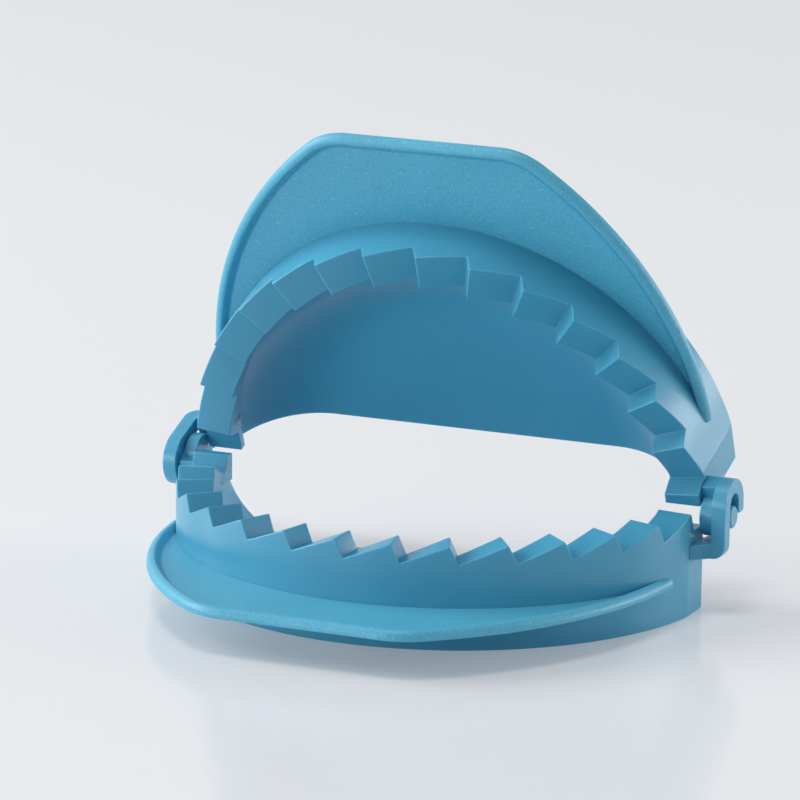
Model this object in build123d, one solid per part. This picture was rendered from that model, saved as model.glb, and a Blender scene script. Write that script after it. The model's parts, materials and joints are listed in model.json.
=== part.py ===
from build123d import *
import math
import os

# An empanada press: two equal moulded halves, joined by a snap hinge at each end.
# All lengths are in millimetres and all angles in degrees.
#
# Every piece is first drawn in the frame of one half: X lies along the hinge axis, -Y points
# out to the handle, +Z points to the other half when the press is shut, and the origin is the
# middle of the hinge axis. The lower half is then lifted onto the table, and the upper half is
# the same moulding, turned end for end and swung open about the hinge axis. The part's own
# origin is on the table, at the middle of the box round the opened press.

# ------------------------------------------------------------------ driving dimensions
# wall and rim
rim_radius = 60.0            # outside of the round wall, about the middle of the hinge axis
wall_thickness = 2.8
hinge_height = 20.7          # hinge axis above the table, which is the depth of one half
end_angle = 9.0              # the round wall stops here and runs on straight to the hinge
wall_gap = 0.5               # free space between the hinge axis and the ends of the wall
hinge_gap = 3.0              # and between the hinge axis and the open side of the bowl
closed_gap = 0.4             # space left between the two rims for dough when shut

# crimping teeth
tooth_count = 14             # whole teeth between the first steep drop and the last
tooth_angle = 11.88          # from one tooth to the next along the rim
drop_angle = 1.94            # the part of it that the steep side takes
tooth_height = 4.0
rim_width = 8.0              # width of the toothed band
rim_floor = 2.0              # material left under the roots of the teeth

# pocket for the filling
pocket_depth = 12.0          # below the underside of the toothed band
pocket_wall = 1.8
pocket_floor_radius = 34.0

# handle flange
handle_drop = 11.5           # top of the flange below the hinge axis
handle_thickness = 1.0
handle_reach = 20.7          # straight front edge, out from the wall
handle_side_step = 0.6       # the flange is widest just inside the ends of the wall
handle_widest = 11.7         # distance of the widest place from the hinge axis
handle_side_radius = 84.3    # long round sides
handle_corner_radius = 15.0
handle_end = 16.5            # the flange is cut off here, beside the hinge
bead_width = 3.2             # raised lip along the edge of the flange
bead_height = 1.3
bead_round = 1.6             # outer shoulder of the lip
bead_under_round = 0.3

# hinge pin
pin_radius = 2.5
boss_radius = 4.5
boss_length = 3.2
lug_length = 7.0             # web from the pin along the wall
pin_chamfer = 0.4

# hinge arm
pin_clearance = 0.1          # pin to the sides of its slot, a running fit
side_clearance = 0.4         # between the faces that pass each other at the hinge
arm_thickness = 3.2
hook_radius = 5.8            # outside of the hook
hook_lift = 2.6              # centre of the hook's arch above the hinge axis
prong_end = 0.2              # lower end of the hook's back prong, above the hinge axis
prong_round = 0.8
shelf_top = 5.0              # top of the arm's foot below the hinge axis
shelf_thickness = 3.2
shelf_back = 2.0             # the foot reaches this far behind the hinge axis, under the boss
foot_root = 9.0              # front of the foot on the wall, from where it tapers to the hook
arm_corner_radius = 2.8

# pose
open_angle = 68.2            # between the two rims; 0 is shut and 180 is flat open

# ------------------------------------------------------------------ sizes that follow
half_width = rim_radius * math.cos(math.radians(end_angle))
rim_middle = -closed_gap / 2
tooth_tip = rim_middle + tooth_height / 2
tooth_root = rim_middle - tooth_height / 2
rim_bottom = tooth_root - rim_floor
pocket_radius = rim_radius - rim_width
handle_front = rim_radius + handle_reach
handle_half_width = half_width - handle_side_step
boss_start = half_width + side_clearance
boss_end = half_width + boss_length
arm_inside = boss_end + side_clearance
arm_outside = arm_inside + arm_thickness
slot_half_width = pin_radius + pin_clearance
far = 3 * rim_radius         # longer than any piece, for cutting
open_turn = math.radians(open_angle)
back = hinge_height * math.sin(open_turn) - wall_gap * math.cos(open_turn)
hinge_back = (handle_front - back) / 2   # hinge axis behind the middle of the opened press


def slab(face, bottom, top):
    """A flat face raised between two heights."""
    return Pos(0, 0, bottom) * extrude(face, top - bottom)


def rectangle(x, y):
    """A flat rectangle from its low and high bounds along each axis."""
    middle = Pos((x[0] + x[1]) / 2, (y[0] + y[1]) / 2)
    return middle * Rectangle(x[1] - x[0], y[1] - y[0])


def box(x, y, z):
    """A box from its low and high bounds along each axis."""
    return slab(rectangle(x, y), z[0], z[1])


def round_bar(radius, start, end):
    """A round bar on the hinge axis, between two places along it."""
    return extrude(Plane.YZ.offset(start) * Circle(radius), end - start)


def front_of(distance):
    """Plan of everything at least this far in front of the hinge axis."""
    return rectangle((-far, far), (-far, -distance))


def half_disc(inset, gap):
    """Plan of one half, drawn in from its wall and cut off at a gap from the hinge axis."""
    side = half_width - inset
    return Circle(rim_radius - inset) & rectangle((-side, side), (-far, -gap))


def radial_section(angle, top):
    """Upright quad on one radial line, a little wider than the toothed band."""
    across = math.cos(math.radians(angle))
    forward = -math.sin(math.radians(angle))
    inner = pocket_radius - wall_thickness
    outer = rim_radius + wall_thickness
    corners = [(inner, rim_bottom), (outer, rim_bottom), (outer, top), (inner, top)]
    return make_face(Polyline([(r * across, r * forward, z) for r, z in corners], close=True))


# ------------------------------------------------------------------ the pieces of one half
def outer_wall():
    """Round wall from the rim down to the table, with a straight end beside each hinge."""
    plan = half_disc(0, wall_gap) - half_disc(wall_thickness, wall_gap)
    return slab(plan, -hinge_height, rim_bottom)


def crimp_rim():
    """Band of saw teeth: each rises along the rim, then drops steeply.

    Beside the hinge the band is flat: level with the tips at the pin's end and with the roots
    at the arm's end, so that each flat faces the other kind when the press is shut. The high
    end stops short of the wall's own end.
    """
    sections = [radial_section(180, tooth_tip)]
    for boundary in range(tooth_count + 1):
        angle = 90 + (tooth_count / 2 - boundary) * tooth_angle
        sections.append(radial_section(angle + drop_angle / 2, tooth_tip))
        sections.append(radial_section(angle - drop_angle / 2, tooth_root))
    sections.append(radial_section(0, tooth_root))
    teeth = loft(sections, ruled=True)
    band = half_disc(0, wall_gap) - half_disc(rim_width, wall_gap)
    band = band - rectangle((-far, 0), (-hinge_gap, 0))
    return teeth & slab(band, rim_bottom, tooth_tip)


def filling_pocket():
    """Half of a round bowl, with a flat deck that carries the toothed band."""
    floor = rim_bottom - pocket_depth
    reach = pocket_radius - pocket_floor_radius
    bend = (reach ** 2 + pocket_depth ** 2) / (2 * pocket_depth)

    def bowl(grow):
        centre_height = floor + bend
        radius = bend + grow
        edge = pocket_floor_radius + math.sqrt(radius ** 2 - (centre_height - rim_bottom) ** 2)
        bottom = Line((0, floor - grow), (pocket_floor_radius, floor - grow))
        side = RadiusArc((pocket_floor_radius, floor - grow), (edge, rim_bottom), -radius)
        top = Line((edge, rim_bottom), (0, rim_bottom))
        back = Line((0, rim_bottom), (0, floor - grow))
        return revolve(Plane.XZ * make_face([bottom, side, top, back]), Axis.Z)

    plate = half_disc(wall_thickness, hinge_gap) - Circle(pocket_radius)
    deck = slab(plate, rim_bottom - pocket_wall, rim_bottom)
    shell = bowl(pocket_wall) - bowl(0)
    return deck + (shell & slab(front_of(hinge_gap), -hinge_height, rim_bottom))


def handle_outline(inset):
    """Plan of the flange: two long round sides and a straight front edge."""
    offset = handle_side_radius - handle_half_width
    side = Circle(handle_side_radius - inset)
    lens = (Pos(-offset, -handle_widest) * side) & (Pos(offset, -handle_widest) * side)
    plan = lens & rectangle((-far, far), (inset - handle_front, 0))
    corners = plan.vertices().sort_by(Axis.Y)[:2]
    return fillet(corners, handle_corner_radius - inset)


def handle_flange():
    """Wide flange with a rounded lip along its edge."""
    top = -handle_drop
    bottom = top - handle_thickness
    blank = slab(handle_outline(0), bottom, top + bead_height)
    for end, radius in ((-1, bead_round), (0, bead_under_round)):
        edges = blank.faces().sort_by(Axis.Z)[end].edges()
        blank = fillet([e for e in edges if e.center().Y < -handle_end], radius)
    recess = slab(handle_outline(bead_width), top, 0)
    flange = blank - recess - slab(Circle(rim_radius), -hinge_height, 0)
    return flange & slab(front_of(handle_end), -hinge_height, 0)


def hinge_arm():
    """Arm on the +X end: a foot on the wall and an upright hook, open at the back."""
    on_wall = [(half_width, -wall_gap), (half_width, -foot_root)]
    under_hook = [(arm_inside, -hook_radius), (arm_outside, -hook_radius),
                  (arm_outside, -slot_half_width), (arm_inside, -slot_half_width)]
    under_boss = [(arm_inside, shelf_back), (boss_start, shelf_back), (boss_start, -wall_gap)]
    plan = make_face(Polyline(*on_wall, *under_hook, *under_boss, close=True))
    foot = slab(plan, -shelf_top - shelf_thickness, -shelf_top)
    lower_edges = foot.edges().filter_by(Axis.Y).group_by(Axis.Z)[0]
    foot = fillet(lower_edges.sort_by(Axis.X)[-1], arm_corner_radius)

    ring = Pos(0, hook_lift) * (Circle(hook_radius) - Circle(slot_half_width))
    arch = ring & rectangle((-far, far), (hook_lift, far))
    leg = rectangle((-hook_radius, -slot_half_width), (-shelf_top, hook_lift))
    prong = rectangle((slot_half_width, hook_radius), (prong_end, hook_lift))
    prong = fillet(prong.vertices().group_by(Axis.Y)[0], prong_round)
    hook = extrude(Plane.YZ.offset(arm_inside) * (arch + leg + prong), arm_thickness)
    return foot + hook


def hinge_pin():
    """Pin on the -X end, on a boss with a web that joins it to the wall."""
    boss = round_bar(boss_radius, -boss_end, -boss_start)
    web = box((-boss_end, -half_width), (-lug_length, -hinge_gap), (-boss_radius, rim_middle))
    pin = round_bar(pin_radius, -arm_outside, -boss_end)
    pin = chamfer(pin.edges().filter_by(GeomType.CIRCLE).sort_by(Axis.X)[0], pin_chamfer)
    return boss + web + pin


pieces = {
    "outer_wall": outer_wall(),
    "crimp_rim": crimp_rim(),
    "filling_pocket": filling_pocket(),
    "handle_flange": handle_flange(),
    "hinge_arm": hinge_arm(),
    "hinge_pin": hinge_pin(),
}

# ------------------------------------------------------------------ the two halves in place
lift = Pos(0, hinge_back, hinge_height)
places = {
    "lower": lift,
    "upper": lift * Rot(X=180 - open_angle) * Rot(Z=180),
}

os.makedirs("parts", exist_ok=True)
for half, place in places.items():
    for name, shape in pieces.items():
        export_step(place * shape, f"parts/{half}_{name}.step")
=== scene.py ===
# %% [markdown]
# # An empanada press in blue polypropylene
# The press is two equal injection-moulded halves that snap together at a hinge on each side.
# A half has a round wall with saw teeth on top, a bowl for the filling, a wide handle flange,
# a hook at one end of the hinge and a pin at the other. The CAD frame already holds each
# region in its true place. This lesson keeps every size and draws the visible skins again with
# the small roundings and the surface finish that a mould gives, because those catch the light.

# %% Load the frame
import json
import math
import bmesh
import bpy
from mathutils import Matrix, Vector


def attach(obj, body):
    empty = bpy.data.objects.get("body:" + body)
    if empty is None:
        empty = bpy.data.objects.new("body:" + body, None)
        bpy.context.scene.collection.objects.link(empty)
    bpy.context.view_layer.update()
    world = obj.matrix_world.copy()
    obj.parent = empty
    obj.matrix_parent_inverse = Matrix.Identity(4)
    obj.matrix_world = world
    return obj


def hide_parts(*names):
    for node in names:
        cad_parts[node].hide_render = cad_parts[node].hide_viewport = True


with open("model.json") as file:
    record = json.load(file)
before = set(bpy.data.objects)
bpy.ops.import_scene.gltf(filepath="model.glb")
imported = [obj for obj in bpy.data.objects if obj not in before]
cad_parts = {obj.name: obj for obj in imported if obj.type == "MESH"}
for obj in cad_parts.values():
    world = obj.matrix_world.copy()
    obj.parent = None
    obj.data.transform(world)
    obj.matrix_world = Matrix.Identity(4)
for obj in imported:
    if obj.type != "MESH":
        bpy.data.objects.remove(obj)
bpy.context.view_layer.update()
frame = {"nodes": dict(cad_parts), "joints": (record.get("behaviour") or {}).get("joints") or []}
nodes = frame["nodes"]
print("CAD nodes:", sorted(nodes))

# %% [markdown]
# ## One drawing, two halves
# Both halves come from the same mould, so each region is drawn once, in millimetres, in the
# frame of one half: X lies along the hinge, -Y points out to the handle and +Z points to the
# other half when the press is shut. A matrix then puts it in place. The lower half is lifted
# onto the table. The upper half is turned end for end and swung open about the hinge. A copy
# with a mirror would be quicker, but a mirrored half would not mesh with its partner.

# %% Placing a half
MM = 0.001
HALVES = ("lower", "upper")
OPEN_ANGLE = 68.2

hinge_place = Vector(frame["joints"][0]["pos_m"])
HINGE_HEIGHT = hinge_place.z / MM
to_hinge = Matrix.Translation(hinge_place)
swing = Matrix.Rotation(math.radians(180 - OPEN_ANGLE), 4, "X")
end_for_end = Matrix.Rotation(math.pi, 4, "Z")
placement = {
    "lower": to_hinge @ Matrix.Scale(MM, 4),
    "upper": to_hinge @ swing @ end_for_end @ Matrix.Scale(MM, 4),
}
print("hinge axis at", [round(value, 4) for value in hinge_place])

# %% [markdown]
# ## From faces to a moulded skin
# Each region is a list of faces, and each face a list of corner points. Corners that fall on
# the same point are shared, which makes the mesh one closed skin. No moulded edge is perfectly
# sharp, so real edges get a bevel of about a quarter of a millimetre: a thin line of light along
# each tooth is what tells the eye that this is plastic from a mould. Edges where two regions of
# the same moulding meet get none, or a groove would show where there is no joint. The bevel is
# a modifier, so the mesh under it stays simple.

# %% Helpers for meshes
SHARE = 4                 # corners that agree to this many decimals of a millimetre are one
EDGE_ROUND = 0.25         # radius of a moulded edge, in millimetres
ROUND_SEGMENTS = 3
REAL_EDGE = math.radians(7)   # a fold sharper than this is an edge, not part of a curve


def closed_skin(name, faces, half, seam=None, real_edge=REAL_EDGE):
    """A mesh from faces in millimetres, placed in one half, with its real edges marked."""
    numbers, points, polygons = {}, [], []
    for face in faces:
        corners = []
        for point in face:
            key = tuple(round(value, SHARE) + 0.0 for value in point)
            if key not in numbers:
                numbers[key] = len(points)
                points.append(point)
            if numbers[key] not in corners:
                corners.append(numbers[key])
        if len(corners) > 2:
            polygons.append(corners)
    mesh = bpy.data.meshes.new(name)
    mesh.from_pydata(points, [], polygons)
    draft = bmesh.new()
    draft.from_mesh(mesh)
    bmesh.ops.recalc_face_normals(draft, faces=draft.faces)
    weight = draft.edges.layers.float.new("bevel_weight_edge")
    for edge in draft.edges:
        if len(edge.link_faces) == 2 and edge.calc_face_angle(0) > real_edge:
            on_seam = seam is not None and all(seam(corner.co) for corner in edge.verts)
            edge.smooth = not on_seam
            edge[weight] = 0.0 if on_seam else 1.0
    open_edges = sum(1 for edge in draft.edges if len(edge.link_faces) != 2)
    draft.transform(placement[half])
    draft.to_mesh(mesh)
    draft.free()
    print(f"{name}: {len(mesh.polygons)} faces, {open_edges} open edges")
    return mesh


def piece_from(mesh, half, replaced, edge_round=EDGE_ROUND):
    """A piece that shows a mesh, rounds its edges and stands for CAD nodes of its half."""
    for polygon in mesh.polygons:
        polygon.use_smooth = True
    piece = bpy.data.objects.new(mesh.name, mesh)
    bpy.context.scene.collection.objects.link(piece)
    bevel = piece.modifiers.new("moulded edges", "BEVEL")
    bevel.limit_method = "WEIGHT"
    bevel.width = edge_round * MM
    bevel.segments = ROUND_SEGMENTS
    shading = piece.modifiers.new("even shading", "WEIGHTED_NORMAL")
    shading.keep_sharp = True
    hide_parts(*[f"{half}_{node}" for node in replaced])
    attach(piece, f"{half}_half")
    return piece


def across(values):
    """Neighbours in a list, two at a time."""
    return zip(values, values[1:])


# %% [markdown]
# ## The toothed wall
# The wall is a band of 2.8 mm that stands on the table and carries a rim 8 mm wide. Along the
# rim run fourteen teeth, each a long ramp and a steep drop, like a ratchet: the ramp lays the
# dough over and the drop bites it off. A displacement map could make such teeth, but their
# edges would be soft and uneven. Here one upright section is carried round the arc, and its
# height changes from station to station.

# %% Sizes of the wall and the teeth
RIM_RADIUS = 60.0
WALL = 2.8
RIM_WIDTH = 8.0
RIM_FLOOR = 2.0           # material under the roots of the teeth
END_ANGLE = 9.0           # the round wall ends here and runs on straight to the hinge
WALL_GAP = 0.5            # from the hinge axis to the ends of the wall
HINGE_GAP = 3.0           # from the hinge axis to the open side of the bowl
CLOSED_GAP = 0.4          # left between the two rims for dough when shut
TOOTH_COUNT = 14
TOOTH_ANGLE = 11.88       # from one tooth to the next
DROP_ANGLE = 1.94         # the part of it that the steep side takes
TOOTH_HEIGHT = 4.0
TOOTH_TIP = (TOOTH_HEIGHT - CLOSED_GAP) / 2
TOOTH_ROOT = TOOTH_TIP - TOOTH_HEIGHT
RIM_BOTTOM = TOOTH_ROOT - RIM_FLOOR
HALF_WIDTH = RIM_RADIUS * math.cos(math.radians(END_ANGLE))
ARC_STEP = 1.0            # degrees between stations

tooth_breaks = []         # angle and height of each tip and root, from the pin's end
for boundary in range(TOOTH_COUNT + 1):
    angle = 90 + (TOOTH_COUNT / 2 - boundary) * TOOTH_ANGLE
    tooth_breaks.append((angle + DROP_ANGLE / 2, TOOTH_TIP))
    tooth_breaks.append((angle - DROP_ANGLE / 2, TOOTH_ROOT))

rim_stations = [tooth_breaks[0]]
for (start, first), (end, last) in across(tooth_breaks):
    parts = max(1, round((start - end) / ARC_STEP))
    for part in range(1, parts + 1):
        share = part / parts
        rim_stations.append((start + (end - start) * share, first + (last - first) * share))
print(len(rim_stations), "stations,", TOOTH_COUNT, "whole teeth")

# %% The toothed wall of each half
INNER = RIM_RADIUS - WALL
BAND = RIM_RADIUS - RIM_WIDTH
SEAM_REACH = 0.01         # corners this near a plane lie on it


def polar(radius, angle, height):
    """A point of the half at a radius and an angle, seen from above."""
    turn = math.radians(angle)
    return (radius * math.cos(turn), -radius * math.sin(turn), height)


def drawn_in(inset, angle):
    """Radius of the wall's outline, drawn in by an inset: round, then straight at each end."""
    straight = (HALF_WIDTH - inset) / abs(math.cos(math.radians(angle)))
    return min(RIM_RADIUS - inset, straight)


def wall_section(outer, inner, band, top):
    """Corner points of the wall and its rim, from three places in plan."""
    return [
        (*outer, -HINGE_HEIGHT), (*outer, RIM_BOTTOM), (*outer, top), (*inner, top),
        (*band, top), (*band, RIM_BOTTOM), (*inner, RIM_BOTTOM), (*inner, -HINGE_HEIGHT),
    ]


def rim_part(section):
    """The corners of a section round its rim."""
    return section[1:7]


def wall_part(section):
    """The corners of a section round the wall below the rim."""
    return section[:2] + section[6:]


def radial_cut(angle, top):
    """The wall's section on one radial line."""
    plan = [polar(drawn_in(inset, angle), angle, 0)[:2] for inset in (0, WALL, RIM_WIDTH)]
    return wall_section(*plan, top)


def hinge_cut(side, gap, top):
    """The wall's section on a flat cut in front of the hinge."""
    plan = [(side * (HALF_WIDTH - inset), -gap) for inset in (0, WALL, RIM_WIDTH)]
    return wall_section(*plan, top)


def bridged(first, last):
    """Faces between two closed sections with the same number of corners."""
    ring = list(range(len(first))) + [0]
    return [[first[low], first[high], last[high], last[low]] for low, high in across(ring)]


def toothed_wall():
    """Faces of the wall and its rim of teeth, from the pin's end to the hook's end.

    At the pin's end the rim stops at the open side of the bowl, and the wall below it runs on.
    """
    sections = [hinge_cut(-1, HINGE_GAP, TOOTH_TIP)]
    sections += [radial_cut(angle, top) for angle, top in rim_stations]
    sections.append(hinge_cut(1, WALL_GAP, TOOTH_ROOT))
    faces = [rim_part(sections[0]), sections[-1]]
    for first, last in across(sections):
        faces += bridged(first, last)
    pin_end = wall_part(hinge_cut(-1, WALL_GAP, TOOTH_TIP))
    return faces + [pin_end] + bridged(pin_end, wall_part(sections[0]))


def under_rim(point):
    """Whether a corner lies where the rim rests on the deck of the bowl."""
    at_rim_bottom = abs(point.z - RIM_BOTTOM) < SEAM_REACH
    return at_rim_bottom and point.y < SEAM_REACH - HINGE_GAP


walls = {}
for half in HALVES:
    skin = closed_skin(f"{half}_toothed_wall", toothed_wall(), half, seam=under_rim)
    walls[half] = piece_from(skin, half, ["outer_wall", "crimp_rim"])

# %% [markdown]
# ## The bowl for the filling
# The inside of a half is a shallow bowl with a flat floor, thinner than the wall, and a narrow
# deck that carries the rim. It is a turned shape that stops at a flat cut in front of the hinge.
# Turning a section and cutting it with a boolean would leave long thin faces at the cut. Here
# each ring of the section starts and ends on the cut itself, so that the faces stay even.

# %% The bowl of each half
POCKET_DEPTH = 12.0
POCKET_WALL = 1.8
FLOOR_RADIUS = 34.0
BOWL_STEPS = 14           # faces from the floor to the rim
BOWL_STATIONS = 120       # faces round the half turn
TUCK = 0.8                # how far a region reaches into its neighbour, out of sight

floor_height = RIM_BOTTOM - POCKET_DEPTH
reach = BAND - FLOOR_RADIUS
bend = (reach ** 2 + POCKET_DEPTH ** 2) / (2 * POCKET_DEPTH)


def bowl_side(grow, top):
    """The curved side from the flat floor up to a height, as radius and height."""
    radius = bend + grow
    middle = floor_height + bend
    last = math.acos((middle - top) / radius)
    turns = [last * step / BOWL_STEPS for step in range(BOWL_STEPS + 1)]
    return [(FLOOR_RADIUS + radius * math.sin(turn), middle - radius * math.cos(turn))
            for turn in turns]


def bowl_section():
    """Closed outline of the bowl and its deck, as radius and height."""
    deck_bottom = RIM_BOTTOM - POCKET_WALL
    inside = [(HINGE_GAP, floor_height)] + bowl_side(0, RIM_BOTTOM)
    deck = [(INNER + TUCK, RIM_BOTTOM), (INNER + TUCK, deck_bottom)]
    outside = bowl_side(POCKET_WALL, deck_bottom)[::-1] + [(HINGE_GAP, floor_height - POCKET_WALL)]
    return inside + deck + outside


def bowl_point(ring, station):
    """A point of one ring, between its two ends on the cut in front of the hinge."""
    radius, height = ring
    first = math.degrees(math.asin(HINGE_GAP / radius))
    angle = first + (180 - 2 * first) * station / BOWL_STATIONS
    return polar(radius, angle, height)


def filling_bowl():
    """Faces of the bowl, its deck and the flat cut."""
    outline = bowl_section()
    faces = []
    for lower_ring, upper_ring in across(outline + outline[:1]):
        for station in range(BOWL_STATIONS):
            faces.append([
                bowl_point(lower_ring, station), bowl_point(upper_ring, station),
                bowl_point(upper_ring, station + 1), bowl_point(lower_ring, station + 1),
            ])
    half_way = len(outline) // 2
    for end in (0, BOWL_STATIONS):
        for step in range(half_way - 1):
            pair = outline[step], outline[step + 1], outline[-2 - step], outline[-1 - step]
            faces.append([bowl_point(ring, end) for ring in pair])
    return faces


bowls = {}
for half in HALVES:
    skin = closed_skin(f"{half}_filling_bowl", filling_bowl(), half, seam=under_rim)
    bowls[half] = piece_from(skin, half, ["filling_pocket"])

# %% [markdown]
# ## The handle flange
# The cook presses on a wide flange with two long round sides and a straight front. A lip runs
# along its edge for grip, with a fine groove where the lip meets the flat. Two circles, two
# corner arcs and a straight line give the outline, all tangent, so a section carried along it
# can be drawn in from the edge without a kink. A curve with a bevel object would do the same,
# but the flat between the lip and the wall would then be a separate patch.

# %% Outline of the flange
HANDLE_DROP = 11.5        # top of the flange below the hinge axis
HANDLE_THICKNESS = 1.0
HANDLE_REACH = 20.7       # straight front edge, out from the wall
HANDLE_FRONT = RIM_RADIUS + HANDLE_REACH
HANDLE_SIDE_RADIUS = 84.3
HANDLE_SIDE_STEP = 0.6    # the widest place lies this far inside the ends of the wall
HANDLE_WIDEST = 11.7      # distance of the widest place from the hinge axis
HANDLE_CORNER = 15.0      # radius
HANDLE_END = 16.5         # the flange is cut off here, beside the hinge
SIDE_STEPS = 48
CORNER_STEPS = 16
FRONT_STEPS = 6

side_centre = HANDLE_SIDE_RADIUS - (HALF_WIDTH - HANDLE_SIDE_STEP)
corner_height = HANDLE_CORNER - HANDLE_FRONT
corner_reach = math.sqrt(
    (HANDLE_SIDE_RADIUS - HANDLE_CORNER) ** 2 - (corner_height + HANDLE_WIDEST) ** 2)
corner_side = corner_reach - side_centre


def arc_of(centre, radius, start, end, steps):
    """Stations on an arc: each is a point and the direction out of the flange."""
    stations = []
    for step in range(steps + 1):
        turn = start + (end - start) * step / steps
        out = Vector((math.cos(turn), math.sin(turn)))
        stations.append((Vector(centre) + radius * out, out))
    return stations


side_start = math.asin((HANDLE_WIDEST - HANDLE_END) / HANDLE_SIDE_RADIUS)
side_end = math.atan2(corner_height + HANDLE_WIDEST, corner_reach)
right_side = arc_of(
    (-side_centre, -HANDLE_WIDEST), HANDLE_SIDE_RADIUS, side_start, side_end, SIDE_STEPS)
right_corner = arc_of(
    (corner_side, corner_height), HANDLE_CORNER, side_end, -math.pi / 2, CORNER_STEPS)
down = Vector((0, -1))
front = [(Vector((corner_side * (1 - step / FRONT_STEPS), -HANDLE_FRONT)), down)
         for step in range(1, FRONT_STEPS + 1)]
right_half = right_side + right_corner[1:] + front
left_half = [(Vector((-point.x, point.y)), Vector((-out.x, out.y)))
             for point, out in right_half[-2::-1]]
outline = right_half + left_half
print("flange outline:", len(outline), "stations")

# %% [markdown]
# The lip is 3.2 mm wide and stands 1.3 mm above the flat. It rises softly from a fine groove to
# a round shoulder, which is why it shows a band of light along its whole length and a dark line
# at its inner foot.

# %% The flange of each half
LIP_WIDTH = 3.2
LIP_HEIGHT = 1.3
SHOULDER_ROUND = 1.6      # outside of the lip
UNDER_ROUND = 0.3
GROOVE_DEPTH = 0.2
GROOVE_BANK = 0.15        # the groove's outer side
LIP_MARGIN = 1.2          # flat that is drawn with the lip
ROUND_STEPS = 8
CUT_ROUND = 0.12          # edges of the flange's two cut ends
LIP_EDGE = math.radians(30)   # the lip's own rounding has smaller steps than this

flat = -HANDLE_DROP
underside = flat - HANDLE_THICKNESS
crown = flat + LIP_HEIGHT


def quarter(centre, radius, start):
    """A quarter circle of the lip's section, as distance from the edge and height."""
    turns = [math.radians(start + 90 * step / ROUND_STEPS) for step in range(ROUND_STEPS + 1)]
    return [(centre[0] + radius * math.cos(turn), centre[1] + radius * math.sin(turn))
            for turn in turns]


def soft_rise():
    """The inner side of the lip, from the bottom of the groove to the crown."""
    points = []
    for step in range(ROUND_STEPS):
        share = step / ROUND_STEPS
        inset = LIP_WIDTH + (SHOULDER_ROUND - LIP_WIDTH) * share
        rise = (LIP_HEIGHT + GROOVE_DEPTH) * (1 - math.cos(math.pi * share)) / 2
        points.append((inset, flat - GROOVE_DEPTH + rise))
    return points


lip_section = [(LIP_WIDTH + LIP_MARGIN, flat), (LIP_WIDTH + GROOVE_BANK, flat)]
lip_section += soft_rise()
lip_section += quarter((SHOULDER_ROUND, crown - SHOULDER_ROUND), SHOULDER_ROUND, 90)
lip_section += quarter((UNDER_ROUND, underside + UNDER_ROUND), UNDER_ROUND, 180)
lip_section += [(LIP_WIDTH + LIP_MARGIN, underside)]
lip_top, lip_bottom = lip_section[0], lip_section[-1]
seat = RIM_RADIUS - TUCK      # the flange ends here, out of sight inside the wall


def run_to_wall(station):
    """How far in from the edge the flange meets its seat in the wall."""
    point, out = station
    along = point.dot(out)
    crossing = along ** 2 - point.length_squared + seat ** 2
    return along - math.sqrt(crossing) if crossing > 0 else math.inf


def flange_point(station, corner):
    """A corner of the lip's section at one station of the outline."""
    point, out = station
    inset, height = corner
    place = point - min(inset, run_to_wall(station)) * out
    return (place.x, place.y, height)


def angle_of(point):
    """The angle of a point of the half, seen from above."""
    return math.degrees(math.atan2(-point[1], point[0]))


def lip_face(first, last, low, high):
    """The face between two stations of the outline and two corners of the section."""
    return [flange_point(first, low), flange_point(first, high),
            flange_point(last, high), flange_point(last, low)]


def lip_faces():
    """Faces of the lip along the whole outline, and its two cut ends."""
    faces = []
    for first, last in across(outline):
        faces += [lip_face(first, last, low, high) for low, high in across(lip_section)]
    for station in (outline[0], outline[-1]):
        faces.append([flange_point(station, corner) for corner in lip_section])
    return faces


def plate_faces():
    """Faces of the flat plate between the lip and its seat in the wall.

    Near its two ends the flange is no wider than its lip. There the lip itself reaches the
    seat, and one upright face closes it.
    """
    wide = [station for station in outline if run_to_wall(station) > lip_top[0]]
    start, end = outline.index(wide[0]), outline.index(wide[-1])
    narrow = list(across(outline[:start + 1])) + list(across(outline[end:]))
    faces = [lip_face(first, last, lip_top, lip_bottom) for first, last in narrow]

    first_angle, last_angle = [angle_of(flange_point(station, lip_top))
                               for station in (wide[0], wide[-1])]
    steps = len(wide) - 1
    turn = (last_angle - first_angle) / steps
    feet = []
    for corner in (lip_top, lip_bottom):
        edge = [flange_point(station, corner) for station in wide]
        foot = [polar(seat, first_angle + turn * step, corner[1]) for step in range(1, steps)]
        feet.append([edge[0], *foot, edge[-1]])
        for (edge_1, edge_2), (foot_1, foot_2) in zip(across(edge), across(feet[-1])):
            faces.append([edge_1, edge_2, foot_2, foot_1])
    for (top_1, top_2), (low_1, low_2) in zip(across(feet[0]), across(feet[1])):
        faces.append([top_1, top_2, low_2, low_1])
    return faces


flanges = {}
for half in HALVES:
    faces = lip_faces() + plate_faces()
    skin = closed_skin(f"{half}_handle", faces, half, real_edge=LIP_EDGE)
    flanges[half] = piece_from(skin, half, ["handle_flange"], edge_round=CUT_ROUND)

# %% [markdown]
# ## The hinge
# At one end of the hinge a half has a hook, at the other a pin on a boss. The halves are sprung
# apart a little and the hooks snap over the pins, so no metal is needed. These small solids are
# right in the CAD, apart from their sharp edges. A copy of each is welded, its flat areas are
# joined into single faces, and the same bevel rounds it.

# %% Hook and pin of each half
HOOK_ROUND = 0.4          # the pins slide over the hooks, so these are rounder
WELD = 0.002 * MM         # corners nearer than this are one
FLAT = math.radians(0.5)  # faces closer in direction than this are one
HINGE_EDGE = math.radians(25)     # a sharper fold than this is an edge


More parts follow.
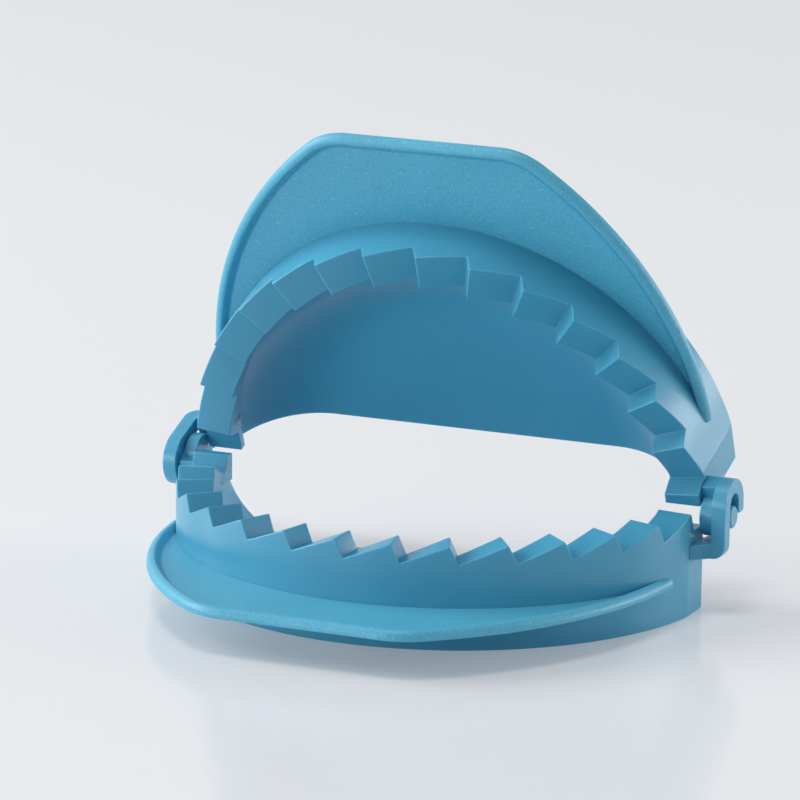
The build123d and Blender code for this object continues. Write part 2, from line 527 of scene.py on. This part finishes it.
def rounded_copy(node_name, piece_name):
    """A copy of a CAD node's mesh with its real edges marked for the bevel."""
    draft = bmesh.new()
    draft.from_mesh(nodes[node_name].data)
    bmesh.ops.remove_doubles(draft, verts=draft.verts, dist=WELD)
    bmesh.ops.dissolve_limit(draft, angle_limit=FLAT, verts=draft.verts, edges=draft.edges)
    weight = draft.edges.layers.float.new("bevel_weight_edge")
    for edge in draft.edges:
        edge.smooth = True
        if len(edge.link_faces) == 2 and edge.calc_face_angle(0) > HINGE_EDGE:
            edge[weight] = 1.0
    mesh = bpy.data.meshes.new(piece_name)
    draft.to_mesh(mesh)
    draft.free()
    print(f"{piece_name}: {len(mesh.polygons)} faces")
    return mesh


hooks, pins = {}, {}
for half in HALVES:
    hook = rounded_copy(f"{half}_hinge_arm", f"{half}_hinge_hook")
    hooks[half] = piece_from(hook, half, ["hinge_arm"], edge_round=HOOK_ROUND)
    pin = rounded_copy(f"{half}_hinge_pin", f"{half}_snap_pin")
    pins[half] = piece_from(pin, half, ["hinge_pin"])

# %% [markdown]
# ## Polypropylene, smooth from a polished mould
# Polypropylene is a waxy, slightly translucent plastic. A polished mould gives it a satin
# gloss: broad soft highlights, never a mirror. Three things make it read as real. Light enters
# and spreads a millimetre or two, so edges glow a little. The melt cools unevenly and leaves
# faint flow marks in the colour. The skin is not quite flat, so highlights waver slightly.

# %% Colour and node helpers
def linear(hex_colour):
    """A linear colour for the shader from an sRGB hex value."""
    channels = [int(hex_colour[place:place + 2], 16) / 255 for place in (1, 3, 5)]
    curved = [value / 12.92 if value <= 0.04045 else ((value + 0.055) / 1.055) ** 2.4
              for value in channels]
    return (*curved, 1.0)


def add(tree, kind, settings=None, inputs=None):
    """A node with its settings, and each input set to a value or linked from a socket."""
    node = tree.nodes.new(kind)
    for name, value in (settings or {}).items():
        setattr(node, name, value)
    for name, value in (inputs or {}).items():
        if isinstance(value, bpy.types.NodeSocket):
            tree.links.new(value, node.inputs[name])
        else:
            node.inputs[name].default_value = value
    return node


def new_material(name):
    """A material with an empty node tree."""
    material = bpy.data.materials.new(name)
    material.use_nodes = True
    material.node_tree.nodes.clear()
    return material


def noise(tree, millimetres, detail, roughness=0.5, distortion=0.0):
    """A noise in the object's own space that repeats about once in so many millimetres."""
    place = add(tree, "ShaderNodeTexCoord").outputs["Object"]
    return add(tree, "ShaderNodeTexNoise", None, {
        "Vector": place, "Scale": 1000 / millimetres, "Detail": detail,
        "Roughness": roughness, "Distortion": distortion}).outputs["Fac"]


def ranged(tree, value, source, target):
    """A value carried over from one range to another."""
    return add(tree, "ShaderNodeMapRange", None, {
        "Value": value, "From Min": source[0], "From Max": source[1],
        "To Min": target[0], "To Max": target[1]}).outputs["Result"]


def between(tree, value, dark, light):
    """A tint that drifts between two hex colours with a noise."""
    ramp = add(tree, "ShaderNodeValToRGB", None, {"Fac": value})
    for element, position, tint in zip(ramp.color_ramp.elements, (0.3, 0.7), (dark, light)):
        element.position = position
        element.color = linear(tint)
    return ramp.outputs["Color"]


def bumped(tree, height, strength, millimetres):
    """A normal that follows a height, up to so many millimetres."""
    return add(tree, "ShaderNodeBump", None, {
        "Strength": strength, "Distance": millimetres * MM, "Height": height}).outputs["Normal"]


def polypropylene(tree, tint, roughness, normal):
    """The shader of both finishes: a satin skin with light that spreads a little below it."""
    plastic = add(tree, "ShaderNodeBsdfPrincipled", {"subsurface_method": "RANDOM_WALK"}, {
        "Base Color": tint, "Roughness": roughness, "IOR": 1.49, "Normal": normal,
        "Subsurface Weight": 0.4, "Subsurface Radius": (0.2, 0.8, 1.0),
        "Subsurface Scale": 0.002})
    add(tree, "ShaderNodeOutputMaterial", None, {"Surface": plastic.outputs["BSDF"]})


# %% Smooth polypropylene
FULL_RANGE = (0.0, 1.0)
FLOW = 38                 # size of the flow marks, in millimetres
WAVER = 6                 # size of the unevenness of the skin
WAVER_HEIGHT = 0.06


def smooth_polypropylene():
    """Satin blue polypropylene from a polished mould."""
    material = new_material("smooth moulded polypropylene")
    tree = material.node_tree
    flow = noise(tree, FLOW, 3.0, distortion=0.6)
    waver = noise(tree, WAVER, 2.0, roughness=0.45)
    tint = between(tree, flow, "#479CBC", "#4DA2C2")
    satin = ranged(tree, flow, FULL_RANGE, (0.26, 0.33))
    polypropylene(tree, tint, satin, bumped(tree, waver, 0.25, WAVER_HEIGHT))
    return material


# %% [markdown]
# ## Polypropylene, grained
# The mould is spark-eroded where the hands press, which leaves a fine grain on the flange. The
# grain scatters the gloss, so the colour looks lighter and more even; here that is painted
# sheen, a tint a little lighter than the smooth one. Tiny glints where single grains face the
# light are painted too, as rare pale specks in the colour. Such a grain is about 0.1 mm wide in
# life. It is drawn at half a millimetre, because finer grain is lost in a picture of the whole
# press.

# %% Grained polypropylene
GRAINED_FLOW = 30             # size of the flow marks, in millimetres
GRAIN = 0.5                   # size of a grain as drawn
GRAIN_HEIGHT = 0.12
# size of a painted glint, a pale speck in the colour, in millimetres
PAINTED_GLINT = 0.4
GRAIN_RANGE = (0.3, 0.7)      # where most values of the grain lie
PAINTED_GLINT_RANGE = (0.72, 0.84)    # only the rare high values of the glint noise show
MIX_FACTOR, MIX_FIRST, MIX_SECOND, MIX_RESULT = 0, 6, 7, 2    # a colour mix's sockets, by place


def grained_polypropylene():
    """Matt blue polypropylene from a spark-eroded mould, with painted sheen in its tint and
    painted glints.
    """
    material = new_material("grained moulded polypropylene")
    tree = material.node_tree
    flow = noise(tree, GRAINED_FLOW, 3.0, distortion=0.5)
    grain = noise(tree, GRAIN, 2.0, roughness=0.6)
    painted_glints = noise(tree, PAINTED_GLINT, 0.0)
    shade = add(tree, "ShaderNodeMix", {"data_type": "RGBA", "blend_type": "MULTIPLY"}, {
        MIX_FACTOR: 1.0,
        # a little lighter than the smooth tint: painted sheen for the gloss that the grain
        # scatters
        MIX_FIRST: between(tree, flow, "#4EA8C5", "#54AECB"),
        MIX_SECOND: ranged(tree, grain, GRAIN_RANGE, (0.88, 1.12))})
    # Painted glints: where the noise is high, the colour is mixed toward pale blue, a painted
    # highlight on single grains.
    tint = add(tree, "ShaderNodeMix", {"data_type": "RGBA"}, {
        MIX_FACTOR: ranged(tree, painted_glints, PAINTED_GLINT_RANGE, (0.0, 0.36)),
        MIX_FIRST: shade.outputs[MIX_RESULT],
        MIX_SECOND: linear("#BFE4F0")})
    matt = ranged(tree, grain, GRAIN_RANGE, (0.32, 0.50))
    skin = bumped(tree, grain, 0.6, GRAIN_HEIGHT)
    polypropylene(tree, tint.outputs[MIX_RESULT], matt, skin)
    return material


# %% Finish of each piece
def finish(piece, material):
    """Give a piece one material."""
    piece.data.materials.clear()
    piece.data.materials.append(material)


smooth = smooth_polypropylene()
grained = grained_polypropylene()
for half in HALVES:
    smooth_pieces = [walls[half], bowls[half], hooks[half], pins[half]]
    for piece in smooth_pieces:
        finish(piece, smooth)
    finish(flanges[half], grained)
    print(f"{half} half: {len(smooth_pieces)} smooth pieces and a grained flange")

# %% [markdown]
# ## Floor and light
# The press stands on a plain pale floor with a little gloss, which mirrors it softly. One large
# soft lamp on the left does most of the work and models the wall from light to dark. Four weaker
# ones support it: a low one in front lights the lip, one on the right and one behind edge the
# right side, and one overhead evens out the flange. A pale world fills the shadows. A floor this
# pale would need so much light that the press would lose its colour. So the camera sees it a
# little lighter than the lamps make it, while its shadow and its mirror image stay.

# %% Floor
FLOOR_HALF = 4.0
CAMERA_LIFT = 0.2         # share of plain pale colour that only the camera sees

floor_mesh = bpy.data.meshes.new("floor")
corners = [(-FLOOR_HALF, -FLOOR_HALF, 0), (FLOOR_HALF, -FLOOR_HALF, 0),
           (FLOOR_HALF, FLOOR_HALF, 0), (-FLOOR_HALF, FLOOR_HALF, 0)]
floor_mesh.from_pydata(corners, [], [(0, 1, 2, 3)])
floor = bpy.data.objects.new("floor", floor_mesh)
bpy.context.scene.collection.objects.link(floor)

stone = new_material("honed pale stone")
layers = stone.node_tree
honed = add(layers, "ShaderNodeBsdfPrincipled", None,
            {"Base Color": linear("#F0F1F3"), "Roughness": 0.14})
pale = add(layers, "ShaderNodeEmission", None, {"Color": linear("#F2F4F7"), "Strength": 1.0})
camera_rays = add(layers, "ShaderNodeLightPath").outputs["Is Camera Ray"]
lift = ranged(layers, camera_rays, FULL_RANGE, (0.0, CAMERA_LIFT))
lifted = add(layers, "ShaderNodeMixShader", None,
             {0: lift, 1: honed.outputs["BSDF"], 2: pale.outputs["Emission"]})
add(layers, "ShaderNodeOutputMaterial", None, {"Surface": lifted.outputs["Shader"]})
floor_mesh.materials.append(stone)
print(f"{floor.name}: {2 * FLOOR_HALF} m square, {stone.name}")

# %% Lamps
AIM = Vector((0, 0.01, 0.03))     # the middle of the press


def softbox(name, place, size, watts, colour="#FFFFFF"):
    """A rectangular soft lamp that points at the press."""
    light = bpy.data.lights.new(name, "AREA")
    light.shape = "RECTANGLE"
    light.size, light.size_y = size
    light.energy = watts
    light.color = linear(colour)[:3]
    lamp = bpy.data.objects.new(name, light)
    bpy.context.scene.collection.objects.link(lamp)
    lamp.location = place
    lamp.rotation_euler = (AIM - Vector(place)).to_track_quat("-Z", "Y").to_euler()
    print(f"{name}: {watts} W")


softbox("left softbox", (-1.8, -0.3, 1.0), (1.6, 1.3), 33.0, "#FFFDFA")
softbox("front softbox", (-1.1, -1.65, 0.32), (1.4, 0.6), 12.5)
softbox("right softbox", (1.8, 0.85, 0.4), (0.8, 0.7), 9.5)
softbox("back softbox", (1.35, 1.5, 0.25), (1.6, 0.4), 9.0)
softbox("top softbox", (-0.2, -0.4, 2.2), (0.7, 0.7), 12.5)

# %% World
WORLD_FILL = 0.4          # how strongly the world lights the press
WORLD_SEEN = 1.0          # how strongly the camera and the gloss see it

world = bpy.data.worlds.new("pale studio")
bpy.context.scene.world = world
world.use_nodes = True
studio = world.node_tree
studio.nodes.clear()
rays = add(studio, "ShaderNodeLightPath")
pale_rays = add(studio, "ShaderNodeMath", {"operation": "MAXIMUM"},
                {0: rays.outputs["Is Camera Ray"], 1: rays.outputs["Is Glossy Ray"]})
level = ranged(studio, pale_rays.outputs["Value"], FULL_RANGE, (WORLD_FILL, WORLD_SEEN))
sky = add(studio, "ShaderNodeBackground", None, {"Color": linear("#D5D9DE"), "Strength": level})
add(studio, "ShaderNodeOutputWorld", None, {"Surface": sky.outputs["Background"]})
print(f"{world.name}: {WORLD_FILL} as light, {WORLD_SEEN} as seen")

# %% [markdown]
# ## Camera
# A long lens from a low angle, a little to the right of the front: it flattens the press and
# keeps the two hinges almost the same size.

# %% Camera
AZIMUTH = 23.31
ELEVATION = 13.542
ROLL = 0.747
DISTANCE = 1.15368        # metres
TARGET = (-0.01225, 0.03083, 0.03811)
LENS = 237.02             # millimetres, on a sensor of the usual width
SENSOR = 36.0

lens = bpy.data.cameras.new("camera")
lens.lens = LENS
lens.sensor_width = SENSOR
camera = bpy.data.objects.new("camera", lens)
bpy.context.scene.collection.objects.link(camera)
camera.matrix_world = (
    Matrix.Translation(TARGET)
    @ Matrix.Rotation(math.radians(AZIMUTH), 4, "Z")
    @ Matrix.Rotation(math.radians(90 - ELEVATION), 4, "X")
    @ Matrix.Translation((0, 0, DISTANCE))
    @ Matrix.Rotation(math.radians(ROLL), 4, "Z"))
bpy.context.scene.camera = camera
bpy.context.scene.view_settings.view_transform = "Standard"
print(f"camera: {LENS} mm lens at {DISTANCE} m")
